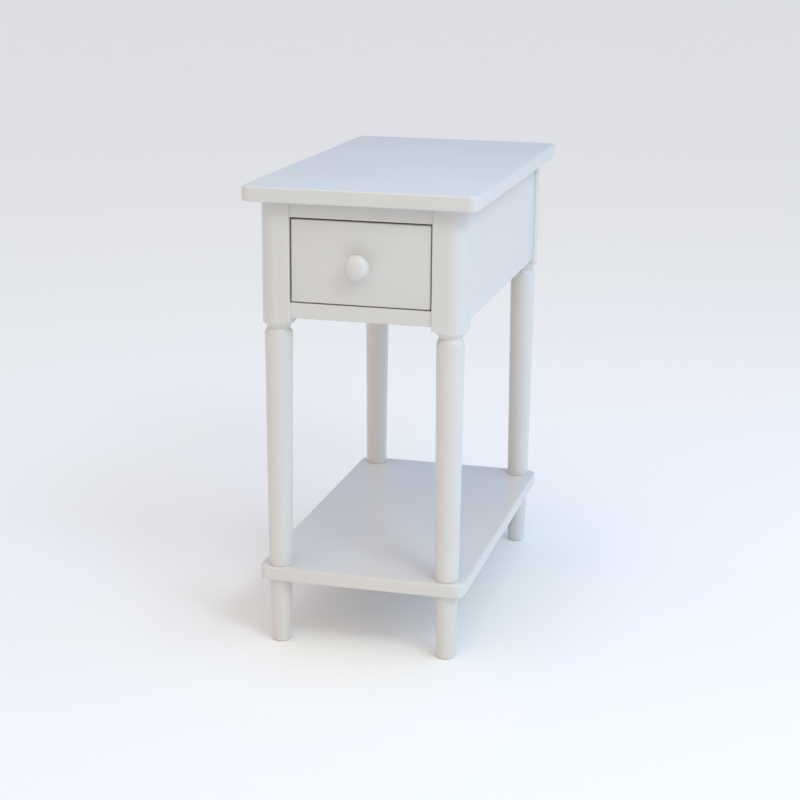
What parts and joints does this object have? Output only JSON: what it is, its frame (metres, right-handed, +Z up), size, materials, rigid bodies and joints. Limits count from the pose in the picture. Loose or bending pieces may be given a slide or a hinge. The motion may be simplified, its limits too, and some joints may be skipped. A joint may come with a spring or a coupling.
{
  "type": "side table with drawer",
  "caption": "Narrow painted side table with an inset drawer, a mushroom knob, turned legs and a lower shelf on turned feet.",
  "frame": {"origin": "centre of the part's box, on the floor that the feet stand on", "axes": "+Z up; -Y is the front, the way the drawer opens; +X is the right-hand side seen from the front"},
  "size_m": [0.305, 0.5668, 0.617],
  "materials": {
    "paint": "satin off-white paint on wood",
    "hardwood": "sanded, unpainted hardwood",
    "plywood": "sanded, unpainted plywood",
    "zinc": "bright zinc plate on steel"
  },
  "bodies": {
    "table": {"tabletop": "paint", "lower_shelf": "paint", "leg_front_left": "paint", "leg_front_right": "paint", "leg_rear_left": "paint", "leg_rear_right": "paint", "foot_front_left": "paint", "foot_front_right": "paint", "foot_rear_left": "paint", "foot_rear_right": "paint", "side_apron_left": "paint", "side_apron_right": "paint", "rear_apron": "paint", "front_rail_top": "paint", "front_rail_bottom": "paint", "drawer_runner_left": "hardwood", "drawer_runner_right": "hardwood", "drawer_guide_left": "hardwood", "drawer_guide_right": "hardwood", "drawer_kicker_left": "hardwood", "drawer_kicker_right": "hardwood", "rear_stop_block_left": "hardwood", "rear_stop_block_right": "hardwood", "corner_block_left": "hardwood", "corner_block_right": "hardwood", "foot_stud_front_left": "zinc", "foot_stud_front_right": "zinc", "foot_stud_rear_left": "zinc", "foot_stud_rear_right": "zinc", "corner_bolt_left": "zinc", "corner_bolt_right": "zinc", "corner_nut_left": "zinc", "corner_nut_right": "zinc", "tabletop_screw_front_left": "zinc", "tabletop_screw_front_right": "zinc", "tabletop_screw_rear_left": "zinc", "tabletop_screw_rear_right": "zinc"},
    "drawer": {"drawer_front": "paint", "drawer_side_left": "hardwood", "drawer_side_right": "hardwood", "drawer_back": "hardwood", "drawer_bottom": "plywood", "knob": "paint", "knob_screw": "zinc", "stop_button_screw": "zinc"},
    "stop_button": {"stop_button": "hardwood"}
  },
  "joints": [
    {"name": "drawer_slide", "type": "slide", "parent": "table", "child": "drawer", "axis": [0, -1, 0], "range_m": [0, 0.368]},
    {"name": "stop_button_turn", "type": "hinge", "parent": "drawer", "child": "stop_button", "pos_m": [0, 0.1375, 0.545], "axis": [0, 1, 0], "continuous": true}
  ]
}
